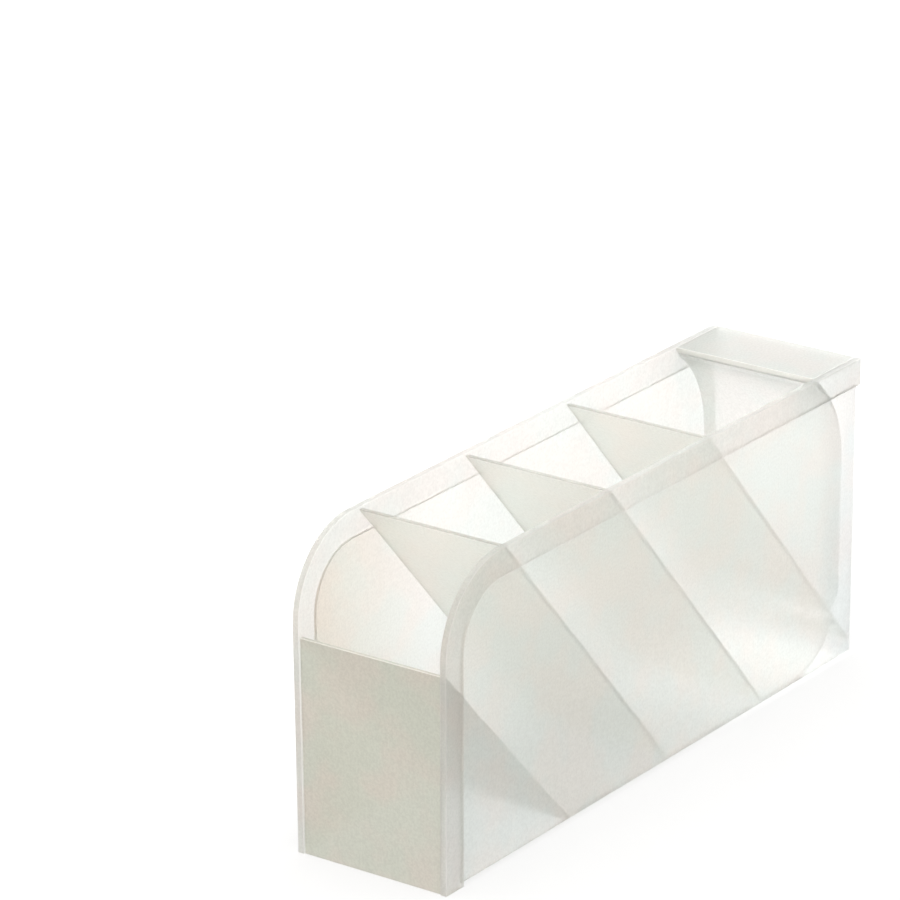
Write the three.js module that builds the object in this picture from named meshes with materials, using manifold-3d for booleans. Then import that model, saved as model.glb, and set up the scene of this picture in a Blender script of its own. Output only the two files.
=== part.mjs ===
// Slanted desk organizer: a long narrow tray of frosted plastic with a rounded front corner,
// a low front wall, three slanted dividers and a closed strip over its rear end.
// Millimetres. +X runs from the front wall to the rear end, +Y to the left side and +Z up.
// The origin is the centre of the base.

import * as THREE from 'three';
import Module from 'manifold-3d';
import { mergeVertices } from 'three/addons/utils/BufferGeometryUtils.js';

const wasm = await Module();
wasm.setup();

// Overall size
const LENGTH = 200;
const WIDTH = 50;
const HEIGHT = 90;

// Walls
const WALL = 1.2;
const FLOOR = 1.6;
const BRIDGE = 1.4;
const DRAFT = 0.7; // how far each side wall leans in from the rim down to the base
const GAP = 0.3; // clearance between neighbouring panels

// Rim around the open edge of each side wall
const RIM_BAND = 8;
const RIM_PROUD = 0.8;
const CORNER_RADIUS = 25;
const FOOT_RISE = 0.8; // how far the panel inside the rim stops above the base
const REAR_SETBACK = 1; // how far the panel inside the rim stops short of the rear end

// Front wall and ramp
const FRONT_HEIGHT = 62;
const FRONT_INSET = 0.4;
const RAMP_SLOPE = 0.93; // millimetres forward for each millimetre down

// Dividers, counted from the front end along the top
const DIVIDER_FIRST = 27.5;
const DIVIDER_PITCH = 48;
const DIVIDER_SLOPE = 0.88;
const DIVIDER_DROP = 0.6; // top edges sit this far below the rims

// Rear wall, bridge and the curved end of the floor
const BRIDGE_LENGTH = 22;
const REAR_RECESS = 6.5;
const REAR_CURVE = 31;
const REAR_CURVE_HEIGHT = 62;
const REAR_CURVE_ANGLE = 56;
const REAR_FOOT_CURVE = 5;
const REAR_FOOT_HEIGHT = 22;
const REAR_FOOT_ANGLE = 55;
const REAR_FOOT_LENGTH = 2.6;
const FLOOR_CURVE = 26;
const FLOOR_CURVE_START = 168;
const FLOOR_CURVE_ANGLE = 58;

const ARC_SEGMENTS = 24;
const MERGE_DISTANCE = 1e-4;

// Frosted white plastic
const PLASTIC_COLOR = 0xdcddd8;
const PLASTIC_ROUGHNESS = 0.55;
const PLASTIC_OPACITY = 0.6;

// Places worked out from the driving dimensions
const FRONT = -LENGTH / 2;
const REAR = LENGTH / 2;
const SIDE_THICKNESS = WALL + RIM_PROUD;
const RAMP_TOP_X = FRONT + FRONT_INSET + WALL;
const REAR_DIVIDER_TOP = FRONT + DIVIDER_FIRST + 2 * DIVIDER_PITCH;
const PANEL_END = REAR - REAR_SETBACK;

const radians = THREE.MathUtils.degToRad;

// Width along X of a slanted panel of the usual wall thickness
function slantedWidth(slope) {
  return WALL * Math.hypot(1, slope);
}

// Half the width between the side walls at height z, less the clearance
function clearHalfWidth(z) {
  return WIDTH / 2 - SIDE_THICKNESS - GAP - DRAFT * (1 - z / HEIGHT);
}

// A shape drawn in X and Z, extruded across the width
function extrudeAcross(shape, yLow, yHigh) {
  const geometry = new THREE.ExtrudeGeometry(shape, {
    depth: yHigh - yLow,
    bevelEnabled: false,
    curveSegments: ARC_SEGMENTS,
  });
  geometry.rotateX(Math.PI / 2);
  geometry.translate(0, yHigh, 0);
  return geometry;
}

// A shape drawn in X and Z, filling the width between the two leaning side walls
function extrudeBetweenWalls(shape) {
  const geometry = extrudeAcross(shape, -1, 1);
  const position = geometry.attributes.position;
  for (let i = 0; i < position.count; i += 1) {
    position.setY(i, position.getY(i) * clearHalfWidth(position.getZ(i)));
  }
  return geometry;
}

function toSolid(geometry) {
  const bare = geometry.clone();
  bare.deleteAttribute('normal');
  bare.deleteAttribute('uv');
  const merged = mergeVertices(bare, MERGE_DISTANCE);
  return new wasm.Manifold(new wasm.Mesh({
    numProp: 3,
    vertProperties: new Float32Array(merged.attributes.position.array),
    triVerts: new Uint32Array(merged.index.array),
  }));
}

function toGeometry(solid) {
  const mesh = solid.getMesh();
  const geometry = new THREE.BufferGeometry();
  geometry.setAttribute('position', new THREE.BufferAttribute(mesh.vertProperties, 3));
  geometry.setIndex(new THREE.BufferAttribute(mesh.triVerts, 1));
  geometry.computeVertexNormals();
  return geometry;
}

function shapeFrom(points) {
  return new THREE.Shape(points.map(([x, z]) => new THREE.Vector2(x, z)));
}

// The raised band along the front edge, round the corner and along the top
function rimShape() {
  const centreX = FRONT + CORNER_RADIUS;
  const centreZ = HEIGHT - CORNER_RADIUS;
  const shape = new THREE.Shape();
  shape.moveTo(FRONT, 0);
  shape.lineTo(FRONT + RIM_BAND, 0);
  shape.lineTo(FRONT + RIM_BAND, centreZ);
  shape.absarc(centreX, centreZ, CORNER_RADIUS - RIM_BAND, Math.PI, Math.PI / 2, true);
  shape.lineTo(REAR, HEIGHT - RIM_BAND);
  shape.lineTo(REAR, HEIGHT);
  shape.lineTo(centreX, HEIGHT);
  shape.absarc(centreX, centreZ, CORNER_RADIUS, Math.PI / 2, Math.PI, false);
  shape.closePath();
  return shape;
}

// The thinner panel that the rim stands out from
function panelShape() {
  const shape = new THREE.Shape();
  shape.moveTo(FRONT, FOOT_RISE);
  shape.lineTo(PANEL_END, FOOT_RISE);
  shape.lineTo(PANEL_END, HEIGHT);
  shape.lineTo(FRONT + CORNER_RADIUS, HEIGHT);
  shape.absarc(
    FRONT + CORNER_RADIUS, HEIGHT - CORNER_RADIUS, CORNER_RADIUS, Math.PI / 2, Math.PI, false,
  );
  shape.closePath();
  return shape;
}

// side is +1 on the left and -1 on the right; the wall leans in towards the base
function sideWall(side) {
  const inner = side * (WIDTH / 2 - SIDE_THICKNESS);
  const panelFace = inner + side * WALL;
  const rimFace = side * (WIDTH / 2);
  const between = (a, b) => [Math.min(a, b), Math.max(a, b)];
  const rim = extrudeAcross(rimShape(), ...between(inner, rimFace));
  const panel = extrudeAcross(panelShape(), ...between(inner, panelFace));
  const geometry = toGeometry(toSolid(rim).add(toSolid(panel)));
  const lean = side * (DRAFT / HEIGHT);
  geometry.applyMatrix4(new THREE.Matrix4().set(
    1, 0, 0, 0,
    0, 1, lean, -lean * HEIGHT,
    0, 0, 1, 0,
    0, 0, 0, 1,
  ));
  return geometry;
}

function frontWall() {
  const x = FRONT + FRONT_INSET;
  return extrudeBetweenWalls(shapeFrom([
    [x, 0],
    [x + WALL, 0],
    [x + WALL, FRONT_HEIGHT],
    [x, FRONT_HEIGHT],
  ]));
}

// X of the ramp's upper face at height z
function rampFace(z) {
  return RAMP_TOP_X + RAMP_SLOPE * (FRONT_HEIGHT - z);
}

function frontRamp() {
  const width = slantedWidth(RAMP_SLOPE);
  const start = RAMP_TOP_X + GAP;
  const upperZ = FRONT_HEIGHT - (start - RAMP_TOP_X) / RAMP_SLOPE;
  return extrudeBetweenWalls(shapeFrom([
    [rampFace(0) - width, 0],
    [rampFace(0), 0],
    [start, upperZ],
    [start, upperZ - width / RAMP_SLOPE],
  ]));
}

// X of the middle of a divider's thickness at height z
function dividerX(topX, z) {
  return topX + DIVIDER_SLOPE * (HEIGHT - z);
}

// An upper divider that stands on the floor
function divider(topX) {
  const half = slantedWidth(DIVIDER_SLOPE) / 2;
  const top = HEIGHT - DIVIDER_DROP;
  const bottom = FLOOR + GAP;
  return extrudeBetweenWalls(shapeFrom([
    [dividerX(topX, bottom) - half, bottom],
    [dividerX(topX, bottom) + half, bottom],
    [dividerX(topX, top) + half, top],
    [dividerX(topX, top) - half, top],
  ]));
}

// The last divider, grown by margin on both faces, which ends at the rear edge of the panels
function rearDividerShape(margin) {
  const half = slantedWidth(DIVIDER_SLOPE) / 2 + margin * Math.hypot(1, DIVIDER_SLOPE);
  const top = HEIGHT - DIVIDER_DROP;
  const heightAt = (x) => HEIGHT - (x - REAR_DIVIDER_TOP) / DIVIDER_SLOPE;
  return shapeFrom([
    [dividerX(REAR_DIVIDER_TOP, top) - half, top],
    [PANEL_END, heightAt(PANEL_END + half)],
    [PANEL_END, heightAt(PANEL_END - half)],
    [dividerX(REAR_DIVIDER_TOP, top) + half, top],
  ]);
}

// A panel trimmed back from the last divider, with the usual clearance
function trimmedByRearDivider(shape) {
  const reach = WIDTH / 2;
  const cutter = extrudeAcross(rearDividerShape(GAP), -reach, reach);
  return toGeometry(toSolid(extrudeBetweenWalls(shape)).subtract(toSolid(cutter)));
}

function floorPlate() {
  const clearance = GAP * Math.hypot(1, RAMP_SLOPE);
  const centreX = FRONT + FLOOR_CURVE_START;
  const centreZ = FLOOR + FLOOR_CURVE;
  const startAngle = -Math.PI / 2;
  const endAngle = startAngle + radians(FLOOR_CURVE_ANGLE);
  const shape = new THREE.Shape();
  shape.moveTo(rampFace(0) + clearance, 0);
  shape.lineTo(centreX, 0);
  shape.absarc(centreX, centreZ, FLOOR_CURVE + FLOOR, startAngle, endAngle, false);
  shape.absarc(centreX, centreZ, FLOOR_CURVE, endAngle, startAngle, true);
  shape.lineTo(rampFace(FLOOR) + clearance, FLOOR);
  shape.closePath();
  return trimmedByRearDivider(shape);
}

// The rear wall from its top under the bridge, down its curve, its upright part and its foot
function rearWall() {
  const middleX = REAR - REAR_RECESS - WALL / 2;
  const topCentre = middleX - REAR_CURVE;
  const footCentre = middleX - REAR_FOOT_CURVE;
  const topAngle = radians(REAR_CURVE_ANGLE);
  const footAngle = radians(-REAR_FOOT_ANGLE);
  const footX = REAR_FOOT_LENGTH * Math.sin(footAngle);
  const footZ = REAR_FOOT_LENGTH * -Math.cos(footAngle);
  const outer = WALL / 2;
  const footPoint = (radius) => [
    footCentre + radius * Math.cos(footAngle) + footX,
    REAR_FOOT_HEIGHT + radius * Math.sin(footAngle) + footZ,
  ];
  const shape = new THREE.Shape();
  shape.absarc(topCentre, REAR_CURVE_HEIGHT, REAR_CURVE + outer, topAngle, 0, true);
  shape.absarc(footCentre, REAR_FOOT_HEIGHT, REAR_FOOT_CURVE + outer, 0, footAngle, true);
  shape.lineTo(...footPoint(REAR_FOOT_CURVE + outer));
  shape.lineTo(...footPoint(REAR_FOOT_CURVE - outer));
  shape.absarc(footCentre, REAR_FOOT_HEIGHT, REAR_FOOT_CURVE - outer, footAngle, 0, false);
  shape.absarc(topCentre, REAR_CURVE_HEIGHT, REAR_CURVE - outer, 0, topAngle, false);
  shape.closePath();
  return trimmedByRearDivider(shape);
}

function topBridge() {
  return extrudeBetweenWalls(shapeFrom([
    [REAR - BRIDGE_LENGTH, HEIGHT - BRIDGE],
    [REAR, HEIGHT - BRIDGE],
    [REAR, HEIGHT],
    [REAR - BRIDGE_LENGTH, HEIGHT],
  ]));
}

const organizer = new THREE.Group();

// Every panel is the same frosted white plastic
function addPanel(name, geometry) {
  const material = new THREE.MeshStandardMaterial({
    color: PLASTIC_COLOR,
    roughness: PLASTIC_ROUGHNESS,
    metalness: 0,
    transparent: true,
    opacity: PLASTIC_OPACITY,
  });
  const mesh = new THREE.Mesh(geometry, material);
  mesh.name = name;
  organizer.add(mesh);
}

addPanel('left_side_wall', sideWall(1));
addPanel('right_side_wall', sideWall(-1));
addPanel('front_wall', frontWall());
addPanel('front_ramp', frontRamp());
addPanel('front_divider', divider(FRONT + DIVIDER_FIRST));
addPanel('middle_divider', divider(FRONT + DIVIDER_FIRST + DIVIDER_PITCH));
addPanel('rear_divider', extrudeBetweenWalls(rearDividerShape(0)));
addPanel('floor_plate', floorPlate());
addPanel('rear_wall', rearWall());
addPanel('top_bridge', topBridge());

export default organizer;
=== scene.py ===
"""Frosted slanted desk organizer: moulded panels, milky plastic, soft light and camera."""
import math

import bmesh
import bpy
from mathutils import Matrix, Vector


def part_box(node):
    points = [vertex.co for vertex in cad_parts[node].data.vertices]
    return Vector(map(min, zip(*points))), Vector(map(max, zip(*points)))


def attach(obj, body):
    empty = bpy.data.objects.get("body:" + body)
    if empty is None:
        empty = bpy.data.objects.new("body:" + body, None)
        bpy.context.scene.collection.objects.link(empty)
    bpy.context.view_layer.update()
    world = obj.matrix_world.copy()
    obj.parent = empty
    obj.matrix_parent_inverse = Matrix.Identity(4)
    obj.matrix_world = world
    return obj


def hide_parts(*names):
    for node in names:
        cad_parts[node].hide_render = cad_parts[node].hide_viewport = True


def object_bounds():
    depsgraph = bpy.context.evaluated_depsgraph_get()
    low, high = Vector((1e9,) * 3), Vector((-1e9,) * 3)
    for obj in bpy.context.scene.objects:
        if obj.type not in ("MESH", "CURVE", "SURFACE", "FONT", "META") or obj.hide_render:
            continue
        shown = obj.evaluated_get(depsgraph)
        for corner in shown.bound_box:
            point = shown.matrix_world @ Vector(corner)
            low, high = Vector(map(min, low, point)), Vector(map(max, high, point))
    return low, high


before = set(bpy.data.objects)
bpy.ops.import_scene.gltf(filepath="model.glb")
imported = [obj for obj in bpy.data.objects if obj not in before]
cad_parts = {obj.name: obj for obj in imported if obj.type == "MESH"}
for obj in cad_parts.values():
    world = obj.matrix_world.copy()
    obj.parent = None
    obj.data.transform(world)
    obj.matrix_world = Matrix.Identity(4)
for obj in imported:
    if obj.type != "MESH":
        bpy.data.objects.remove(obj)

MM = 0.001

cad_low, cad_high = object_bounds()

# Side walls: the band of the rim stands out from the panel inside it
RIM_BAND = 8 * MM
CORNER_RADIUS = 25 * MM
WALL = 1.2 * MM
RIM_THICKNESS = 2 * MM
DRAFT = 0.7 * MM  # how far each side wall leans in from the rim down to the base
FOOT_RISE = 0.8 * MM
REAR_SETBACK = 1 * MM
UNDER_RIM = 0.2 * MM  # how far the panel runs on into the rim
INNER_STEP = 0.06 * MM  # how far the rim stands in from the panel on the inside
REAR_ROUND = {"left": 3 * MM, "right": 0}  # outer corner of each rim's rear end, from above
REAR_EDGE = 0.5 * MM  # thickness that the rim keeps at its rounded rear end
ARC_STEPS = 40
CORNER_STEPS = 8

# How the panels meet the side walls
CAD_GAP = 0.3 * MM  # clearance that the CAD panels keep from the side walls
SEAM = 0.03 * MM  # clearance that is left here
END_REACH = 2 * MM  # height below the top over which a panel end counts as its end

# How the CAD panels are cleaned up, and how edges are rounded
SHORT_EDGE = 0.06 * MM  # edges up to this length are closed up
SHORT_FLOOR_EDGE = 0.15 * MM
FLAT_JOIN = math.radians(0.4)
END_FACING = 0.9  # how squarely a face looks along an axis to count as an end face
SHARP_EDGE = math.radians(25)
EDGE_ROUND = 0.2 * MM
EDGE_STEPS = 2
ROUND_PROFILE = 0.5
SMOOTH_STEP = math.radians(12)

# Patterns in the plastic. A noise is a scale per metre and a detail, and a range is the lowest
# and highest result and the noise values that give them.
TINT_NOISE = (72.0, 4.0)
TINT_RANGE = (0.0, 1.0, 0.42, 0.58)
FLOW_NOISE = (1500.0, 2.0)
FLOW_STRETCH = (1.0, 1.0, 0.07)
FLOW_RANGE = (0.97, 1.0, 0.3, 0.7)
SPECKLE_NOISE = (1500.0, 3.0)
SPECKLE_RANGE = (0.885, 1.0, 0.35, 0.65)
# Painted light and shade on the rounded edges is broken up into patches by this noise
EDGE_PAINT_NOISE = (180.0, 3.0)
EDGE_PAINT_RANGE = (0.7, 1.0, 0.3, 0.7)
CLOUD_NOISE = (70.0, 4.0)
CLOUD_START, CLOUD_END = 0.3, 0.7
CLOUD_BELOW, CLOUD_ABOVE = 0.02, 0.05  # how far the roughness goes either side of its value
EDGE_POLISH = 0.02  # how much less rough the edges are under the painted edge light and shade
GRAIN_NOISE = (2600.0, 2.0)
FROST_STRENGTH = 0.25
FROST_DEPTH = 0.05 * MM
WAVE_NOISE = (45.0, 1.0)
WAVE_STRENGTH = 0.05
WAVE_DEPTH = 1.0 * MM

REFRACTION = 1.15  # below a real plastic's: it was set by trial, for the brightness of the look
# Tints painted on the rounded edges as light and shade: darker than the plastic they are painted
# shade, for the dark lines that light makes along edges seen through the plastic; paler than it,
# they are painted light
PAINTED_EDGE_TINT = (0.80, 0.79, 0.765)
PALE_PAINTED_EDGE_TINT = (0.98, 0.98, 0.97)

# Camera: where it aims from the middle of the organizer, and how it looks at that point
AIM_OFFSET = Vector((-10.1, 38.6, 38.1)) * MM
HEADING = math.radians(35.99)
ELEVATION = math.radians(20.89)
ROLL = math.radians(-0.49)
DISTANCE = 1.548
LENS = 226.05
SENSOR = 36.0
CLIP_START = 0.01
CLIP_END = 50

# Floor of the studio: it glows by itself, less under the front of the organizer
FLOOR_SIZE = 12.0
FLOOR_ALBEDO = 0.16
GLOW_UNDER_FRONT = 0.64
GLOW_UNDER_REAR = 1.1
GLOW_UNDER_START = 5 * MM
GLOW_UNDER_END = 75 * MM
GLOW_RIGHT = 0.74
GLOW_LEFT = 0.95
GLOW_LEFT_START = 1.2  # in half widths of the organizer
GLOW_LEFT_END = 3.5
GLOW_FADE = 3 * MM

# Light of the studio by direction. Each reach is how squarely a direction faces that side where
# its light starts and where it is full.
WALL_LIGHT = (1.12, 1.12, 1.12)
TOP_LIGHT = (2.45, 2.44, 2.42)
TOP_REACH = (0.2, 0.9)
FRONT_LIGHT = (2.00, 1.86, 1.62)
FRONT_REACH = (0.2, 0.95)

# Light goes through many walls one after another before it leaves the organizer
WALL_BOUNCES = 48
SURFACE_BOUNCES = 24


# ---------------------------------------------------------------- material

class Nodes:
    """Makes and links the nodes of one tree."""

    def __init__(self, tree):
        self.tree = tree
        tree.nodes.clear()

    def add(self, kind, inputs=(), **settings):
        """A node with its properties set.

        inputs are pairs of a socket's name or number and a value or a socket to link."""
        made = self.tree.nodes.new(kind)
        for name, value in settings.items():
            setattr(made, name, value)
        for name, value in dict(inputs).items():
            if isinstance(value, bpy.types.NodeSocket):
                self.tree.links.new(value, made.inputs[name])
            else:
                made.inputs[name].default_value = value
        return made

    def math(self, operation, *values):
        """The result of a sum on numbers or sockets."""
        made = self.add("ShaderNodeMath", enumerate(values), operation=operation)
        return made.outputs[0]

    def stretched(self, place, scale):
        made = self.add("ShaderNodeMapping", {"Vector": place, "Scale": scale})
        return made.outputs["Vector"]

    def noise(self, place, scale, detail):
        made = self.add("ShaderNodeTexNoise", {"Vector": place, "Scale": scale, "Detail": detail})
        return made.outputs["Fac"]

    def between(self, factor, low, high, start=0.0, end=1.0, kind="LINEAR"):
        """A number that goes from low to high as factor goes from start to end."""
        made = self.add("ShaderNodeMapRange", {
            "Value": factor, "From Min": start, "From Max": end, "To Min": low, "To Max": high,
        }, interpolation_type=kind)
        return made.outputs["Result"]

    def blend(self, factor, first, second, kind="MIX"):
        """A colour mixed from two others, each a colour or a socket."""
        made = self.add("ShaderNodeMix", {"Factor": factor}, data_type="RGBA", blend_type=kind)
        for name, value in (("A", first), ("B", second)):
            if isinstance(value, bpy.types.NodeSocket):
                self.tree.links.new(value, made.inputs[name])
            else:
                made.inputs[name].default_value = (*value, 1.0)
        return made.outputs["Result"]

    def grey(self, level):
        made = self.add("ShaderNodeCombineColor", {"Red": level, "Green": level, "Blue": level})
        return made.outputs["Color"]


def plastic(name, clear, warm, cool, rough, edge=PAINTED_EDGE_TINT, front=None, rear=None):
    """Milky plastic. clear is how much light goes through, and it drifts from warm to cool.

    front and rear are tints of painted shade, darker than the plastic, that it takes on more and
    more towards that end of the organizer, each with how far from the end it starts. edge is a
    tint of painted light and shade on the rounded edges."""
    material = bpy.data.materials.new(name)
    material.use_nodes = True
    nodes = Nodes(material.node_tree)
    place = nodes.add("ShaderNodeTexCoord").outputs["Object"]

    drift = nodes.noise(place, *TINT_NOISE)
    colour = nodes.blend(nodes.between(drift, *TINT_RANGE), warm, cool)
    along = nodes.add("ShaderNodeSeparateXYZ", {0: place}).outputs["X"]
    # Painted shade: the plastic darkens towards its front and rear ends
    if front:
        end_shade, reach = front
        end_shade_amount = nodes.between(along, 1.0, 0.0, cad_low[0], cad_low[0] + reach)
        colour = nodes.blend(end_shade_amount, colour, end_shade, "MULTIPLY")
    if rear:
        end_shade, reach = rear
        end_shade_amount = nodes.between(along, 0.0, 1.0, cad_high[0] - reach, cad_high[0])
        colour = nodes.blend(end_shade_amount, colour, end_shade, "MULTIPLY")
    flow = nodes.noise(nodes.stretched(place, FLOW_STRETCH), *FLOW_NOISE)
    speckle = nodes.noise(place, *SPECKLE_NOISE)
    shade = nodes.math(
        "MULTIPLY", nodes.between(flow, *FLOW_RANGE), nodes.between(speckle, *SPECKLE_RANGE),
    )
    colour = nodes.blend(1.0, colour, nodes.grey(shade), "MULTIPLY")
    # Painted light and shade: the edge tint, darker or paler than the plastic, is mixed into the
    # rounded edges
    on_edge = nodes.add("ShaderNodeAttribute", attribute_name="edge").outputs["Fac"]
    edge_paint_patches = nodes.between(nodes.noise(place, *EDGE_PAINT_NOISE), *EDGE_PAINT_RANGE)
    painted_edge_mask = nodes.math("MULTIPLY", on_edge, edge_paint_patches)
    colour = nodes.blend(painted_edge_mask, colour, edge)

    cloud = nodes.noise(place, *CLOUD_NOISE)
    roughness = nodes.between(
        cloud, rough - CLOUD_BELOW, rough + CLOUD_ABOVE, CLOUD_START, CLOUD_END,
    )
    roughness = nodes.math("SUBTRACT", roughness, nodes.between(painted_edge_mask, 0.0, EDGE_POLISH))
    grain = nodes.noise(place, *GRAIN_NOISE)
    waves = nodes.add("ShaderNodeBump", {
        "Strength": WAVE_STRENGTH,
        "Distance": WAVE_DEPTH,
        "Height": nodes.noise(place, *WAVE_NOISE),
    }).outputs["Normal"]
    frost = nodes.add("ShaderNodeBump", {
        "Strength": FROST_STRENGTH,
        "Distance": FROST_DEPTH,
        "Height": grain,
        "Normal": waves,
    }).outputs["Normal"]

    shader = nodes.add("ShaderNodeBsdfPrincipled", {
        "Base Color": colour,
        "Roughness": roughness,
        "Normal": frost,
        "IOR": REFRACTION,
        "Transmission Weight": clear,
    })
    nodes.add("ShaderNodeOutputMaterial", {"Surface": shader.outputs["BSDF"]})
    return material


# The real organizer is one plastic. The panels' tints and clearness differ here because each
# was set to the brightness that the panel has in the photograph, so they are lit and shaded copies
# of one plastic: the darker front wall, ramp, rear wall, rim and bridge carry painted shade.
# Painted shade: this side panel darkens and warms towards the front
LEFT_PLASTIC = plastic(
    "left_plastic", clear=0.85, warm=(0.972, 0.945, 0.918), cool=(0.938, 0.962, 0.942),
    rough=0.33, front=((0.77, 0.728, 0.66), 58 * MM),
)
# Painted shade: this side panel darkens towards the front and at its rear end
RIGHT_PLASTIC = plastic(
    "right_plastic", clear=0.85, warm=(1.0, 0.984, 0.96), cool=(0.966, 0.995, 0.98),
    rough=0.33, front=((0.91, 0.92, 0.912), 150 * MM), rear=((0.85, 0.86, 0.87), 20 * MM),
)
# Painted shade: dark lines along the dividers' rounded edges
DIVIDER_PLASTIC = plastic(
    "divider_plastic", clear=0.95, warm=(1.0, 0.985, 0.94), cool=(0.995, 1.0, 0.96),
    rough=0.31, edge=(0.62, 0.61, 0.58),
)
# Painted shade: the ramp is darker and less clear than the other panels
RAMP_PLASTIC = plastic(
    "ramp_plastic", clear=0.7, warm=(0.90, 0.88, 0.855), cool=(0.885, 0.90, 0.88), rough=0.36,
)
# Painted shade: the rear wall is darker than the other panels, with painted light on its pale
# edges
REAR_PLASTIC = plastic(
    "rear_plastic", clear=0.85, warm=(0.92, 0.908, 0.89), cool=(0.905, 0.925, 0.905),
    rough=0.33, edge=PALE_PAINTED_EDGE_TINT,
)
FLOOR_PLASTIC = plastic(
    "floor_plastic", clear=0.92, warm=(0.99, 0.98, 0.965), cool=(0.98, 0.99, 0.975),
    rough=0.33, edge=PALE_PAINTED_EDGE_TINT,
)
# Painted shade: the rim is darker than the panels, more so towards its front and rear ends
RIM_PLASTIC = plastic(
    "rim_plastic", clear=0.85, warm=(0.935, 0.905, 0.882), cool=(0.905, 0.917, 0.897),
    rough=0.34, edge=(0.86, 0.85, 0.83),
    front=((0.875, 0.87, 0.855), 90 * MM), rear=((0.84, 0.845, 0.84), 45 * MM),
)
# Painted shade: the bridge is dark against the strong light from above, with painted light on its
# pale edges
BRIDGE_SHADED_PLASTIC = plastic(
    "bridge_shaded_plastic", clear=0.7, warm=(0.68, 0.67, 0.65), cool=(0.66, 0.68, 0.66),
    rough=0.36, edge=(1.0, 1.0, 0.98),
)
# Painted shade: the front wall is the darkest panel, though the front light falls straight on it
FRONT_SHADED_PLASTIC = plastic(
    "front_shaded_plastic", clear=0.5, warm=(0.65, 0.628, 0.585), cool=(0.615, 0.635, 0.585),
    rough=0.42,
)


# ---------------------------------------------------------------- panels

def finish_piece(shape, name, node, material, painted_light_ends=False):
    """Rounds a shape's edges and makes it a piece that stands for a CAD node.

    When asked, its front and rear end faces get the tint of its edges: painted light on those
    ends."""
    bmesh.ops.recalc_face_normals(shape, faces=shape.faces)
    edge = shape.faces.layers.float.new("edge")
    for face in shape.faces:
        face.normal_update()
        # Painted light on the end faces
        if painted_light_ends and abs(face.normal.x) > END_FACING:
            face[edge] = 1.0
    sharp = [e for e in shape.edges if len(e.link_faces) == 2 and e.calc_face_angle() > SHARP_EDGE]
    rounded = bmesh.ops.bevel(
        shape, geom=sharp, offset=EDGE_ROUND, offset_type="OFFSET", segments=EDGE_STEPS,
        profile=ROUND_PROFILE, affect="EDGES", clamp_overlap=True,
    )
    for face in rounded["faces"]:
        face[edge] = 1.0
    # Nothing may reach past the CAD box, not even by a rounding error
    for vert in shape.verts:
        inside = zip(vert.co, cad_low, cad_high)
        vert.co = [min(max(value, low), high) for value, low, high in inside]
    for face in shape.faces:
        face.smooth = True
    mesh = bpy.data.meshes.new(name)
    shape.to_mesh(mesh)
    shape.free()
    mesh.set_sharp_from_angle(angle=SMOOTH_STEP)
    mesh.materials.append(material)
    piece = bpy.data.objects.new(name, mesh)
    bpy.context.scene.collection.objects.link(piece)
    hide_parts(node)
    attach(piece, "root")


def arc(centre, radius, start, end):
    """Points of an arc in X and Z, from one angle to another, both in degrees."""
    turns = [math.radians(start + (end - start) * i / ARC_STEPS) for i in range(ARC_STEPS + 1)]
    return [(centre[0] + radius * math.cos(t), centre[1] + radius * math.sin(t)) for t in turns]


def prism(outline, depths, seams=()):
    """A closed solid between two outlines in X and Z.

    Each of depths gives the Y of one outline's points from their X and Z. seams are pairs of
    places in the outline, which a line across each end joins."""
    shape = bmesh.new()
    ends = [[shape.verts.new((x, depth(x, z), z)) for x, z in outline] for depth in depths]
    for end in ends:
        shape.faces.new(end)
        for i, j in seams:
            bmesh.ops.connect_verts(shape, verts=[end[i], end[j]])
    for i in range(len(outline)):
        j = (i + 1) % len(outline)
        shape.faces.new((ends[0][i], ends[0][j], ends[1][j], ends[1][i]))
    return shape


def side_wall(side):
    """The rim band and the thinner panel inside it, of the left or the right wall."""
    node = side + "_side_wall"
    low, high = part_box(node)
    sign = 1 if side == "left" else -1
    front, rear, top = cad_low[0], cad_high[0], cad_high[2]
    outer_face = max(abs(low[1]), abs(high[1]))
    centre = (front + CORNER_RADIUS, top - CORNER_RADIUS)
    corner = REAR_ROUND[side]

    def face_at(distance):
        """The Y of a face this far inside the rim's outer face, leaning in towards the base."""
        return lambda x, z: sign * (outer_face - distance - DRAFT * (1 - z / top))

    def rim_outer(x, z):
        """The rim's outer face, which turns in round the corner at its rear end."""
        past = max(0.0, (x - (rear - corner)) / corner) if corner else 0.0
        depth = min(corner, RIM_THICKNESS - REAR_EDGE)
        return face_at(depth * (1 - math.sqrt(max(0.0, 1 - past ** 2))))(x, z)

    steps = CORNER_STEPS if corner else 0
    rear_stops = [rear - corner * i / CORNER_STEPS for i in range(steps, -1, -1)]
    outline = [(front, 0.0), (front + RIM_BAND, 0.0)]
    outline += arc(centre, CORNER_RADIUS - RIM_BAND, 180, 90)
    first = len(outline)
    seams = [(first + i, first + 2 * steps + 1 - i) for i in range(steps)]
    outline += [(x, top - RIM_BAND) for x in rear_stops]
    outline += [(x, top) for x in reversed(rear_stops)]
    outline += arc(centre, CORNER_RADIUS, 90, 180)
    rim = prism(outline, (face_at(RIM_THICKNESS), rim_outer), seams)
    finish_piece(rim, side + "_rim", node, RIM_PLASTIC)

    band = RIM_BAND - UNDER_RIM
    panel_end = rear - REAR_SETBACK
    outline = [(front + band, FOOT_RISE), (panel_end, FOOT_RISE), (panel_end, top - band)]
    outline += arc(centre, CORNER_RADIUS - band, 90, 180)
    panel = prism(
        outline, (face_at(RIM_THICKNESS - INNER_STEP), face_at(RIM_THICKNESS - WALL)),
    )
    material = LEFT_PLASTIC if side == "left" else RIGHT_PLASTIC
    finish_piece(panel, side + "_panel", node, material)


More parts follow.
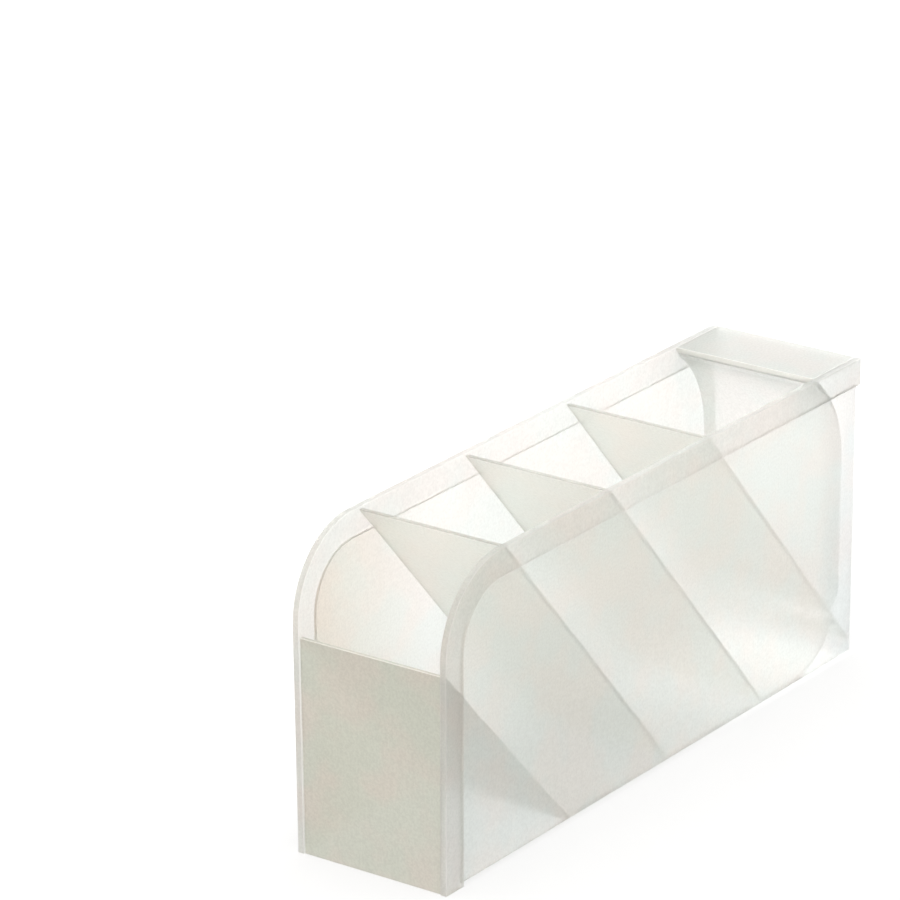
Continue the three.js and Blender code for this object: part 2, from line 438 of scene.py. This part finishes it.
def cross_panel(node, material, rise_to=None, painted_light_ends=False, short_edge=SHORT_EDGE):
    """A CAD panel that runs between the side walls, carried out until it nearly meets them.

    rise_to is the height that its top end is carried up to."""
    shape = bmesh.new()
    shape.from_mesh(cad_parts[node].data)
    bmesh.ops.remove_doubles(shape, verts=shape.verts, dist=short_edge)
    shape.normal_update()
    within_ends = [
        e for e in shape.edges if all(abs(f.normal.y) > END_FACING for f in e.link_faces)
    ]
    bmesh.ops.dissolve_edges(shape, edges=within_ends)
    bmesh.ops.dissolve_limit(
        shape, angle_limit=FLAT_JOIN, verts=shape.verts, edges=shape.edges,
    )
    for vert in shape.verts:
        vert.co.y += math.copysign(CAD_GAP - SEAM, vert.co.y)
    if rise_to is not None:
        lift = rise_to - max(v.co.z for v in shape.verts)
        for vert in shape.verts:
            if vert.co.z + END_REACH > rise_to:
                vert.co.z += lift
    finish_piece(shape, node + "_moulded", node, material, painted_light_ends)


def add_organizer():
    for side in ("left", "right"):
        side_wall(side)
    cross_panel("front_wall", FRONT_SHADED_PLASTIC)
    cross_panel("front_ramp", RAMP_PLASTIC)
    for node in ("front_divider", "middle_divider", "rear_divider"):
        cross_panel(node, DIVIDER_PLASTIC)
    cross_panel("floor_plate", FLOOR_PLASTIC, short_edge=SHORT_FLOOR_EDGE)
    cross_panel("rear_wall", REAR_PLASTIC, rise_to=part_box("top_bridge")[0][2] - SEAM)
    # Painted light: the bridge's end faces take its pale edge tint
    cross_panel("top_bridge", BRIDGE_SHADED_PLASTIC, painted_light_ends=True)


# ---------------------------------------------------------------- floor, light and camera

def add_floor():
    """A matt floor that also glows, so that light comes up through the organizer."""
    half = FLOOR_SIZE / 2
    mesh = bpy.data.meshes.new("floor")
    corners = [(-half, -half, 0), (half, -half, 0), (half, half, 0), (-half, half, 0)]
    mesh.from_pydata(corners, [], [(0, 1, 2, 3)])
    floor = bpy.data.objects.new("floor", mesh)
    floor.location.z = cad_low[2] - SEAM
    bpy.context.scene.collection.objects.link(floor)
    material = bpy.data.materials.new("floor_white")
    material.use_nodes = True
    nodes = Nodes(material.node_tree)
    place = nodes.add("ShaderNodeTexCoord").outputs["Object"]
    split = nodes.add("ShaderNodeSeparateXYZ", {0: place})
    past_edges = []
    for axis, reach in (("X", cad_high[0]), ("Y", cad_high[1])):
        across = nodes.math("ABSOLUTE", split.outputs[axis])
        past_edges.append(nodes.between(across, 0.0, 1.0, reach - 2 * GLOW_FADE, reach))
    outside = nodes.math("MAXIMUM", *past_edges)
    matte = nodes.add("ShaderNodeBsdfDiffuse", {
        "Color": (FLOOR_ALBEDO, FLOOR_ALBEDO, FLOOR_ALBEDO, 1.0),
    })
    under = nodes.between(
        split.outputs["X"], GLOW_UNDER_FRONT, GLOW_UNDER_REAR,
        GLOW_UNDER_START, GLOW_UNDER_END, "SMOOTHSTEP",
    )
    beyond = nodes.between(
        split.outputs["Y"], GLOW_RIGHT, GLOW_LEFT,
        GLOW_LEFT_START * cad_high[1], GLOW_LEFT_END * cad_high[1],
    )
    level = nodes.add("ShaderNodeMix", {"Factor": outside, "A": under, "B": beyond})
    glow = nodes.add("ShaderNodeEmission", {"Strength": level.outputs["Result"]})
    both = nodes.add("ShaderNodeAddShader", {0: matte.outputs[0], 1: glow.outputs[0]})
    nodes.add("ShaderNodeOutputMaterial", {"Surface": both.outputs[0]})
    mesh.materials.append(material)


def add_world():
    world = bpy.data.worlds.new("studio")
    bpy.context.scene.world = world
    world.use_nodes = True
    nodes = Nodes(world.node_tree)
    place = nodes.add("ShaderNodeTexCoord").outputs["Generated"]

    def side(direction, low, high):
        """How far the light comes from this side, from 0 to 1."""
        facing = nodes.add(
            "ShaderNodeVectorMath", {0: place, 1: direction}, operation="DOT_PRODUCT",
        )
        return nodes.between(facing.outputs["Value"], 0.0, 1.0, low, high, "SMOOTHSTEP")

    sky = nodes.blend(side((0, 0, 1), *TOP_REACH), WALL_LIGHT, TOP_LIGHT)
    room = nodes.blend(side((-1, 0, 0), *FRONT_REACH), sky, FRONT_LIGHT)
    background = nodes.add("ShaderNodeBackground", {"Color": room})
    nodes.add("ShaderNodeOutputWorld", {"Surface": background.outputs["Background"]})


def add_camera():
    middle = (Vector(cad_low) + Vector(cad_high)) / 2
    forward = Vector((
        math.cos(ELEVATION) * math.cos(HEADING),
        math.cos(ELEVATION) * math.sin(HEADING),
        -math.sin(ELEVATION),
    ))
    right = forward.cross(Vector((0, 0, 1))).normalized()
    up = right.cross(forward)
    turned_right = right * math.cos(ROLL) + up * math.sin(ROLL)
    turned_up = up * math.cos(ROLL) - right * math.sin(ROLL)
    data = bpy.data.cameras.new("camera")
    data.lens = LENS
    data.sensor_width = SENSOR
    data.clip_start = CLIP_START
    data.clip_end = CLIP_END
    camera = bpy.data.objects.new("camera", data)
    bpy.context.scene.collection.objects.link(camera)
    turn = Matrix((turned_right, turned_up, -forward)).transposed().to_4x4()
    camera.matrix_world = Matrix.Translation(middle + AIM_OFFSET - forward * DISTANCE) @ turn
    bpy.context.scene.camera = camera


def set_light_paths():
    scene = bpy.context.scene
    scene.view_settings.view_transform = "Standard"
    cycles = scene.cycles
    cycles.use_denoising = True
    cycles.max_bounces = WALL_BOUNCES
    cycles.transmission_bounces = WALL_BOUNCES
    cycles.diffuse_bounces = SURFACE_BOUNCES
    cycles.glossy_bounces = SURFACE_BOUNCES


add_organizer()
add_floor()
add_world()
add_camera()
set_light_paths()
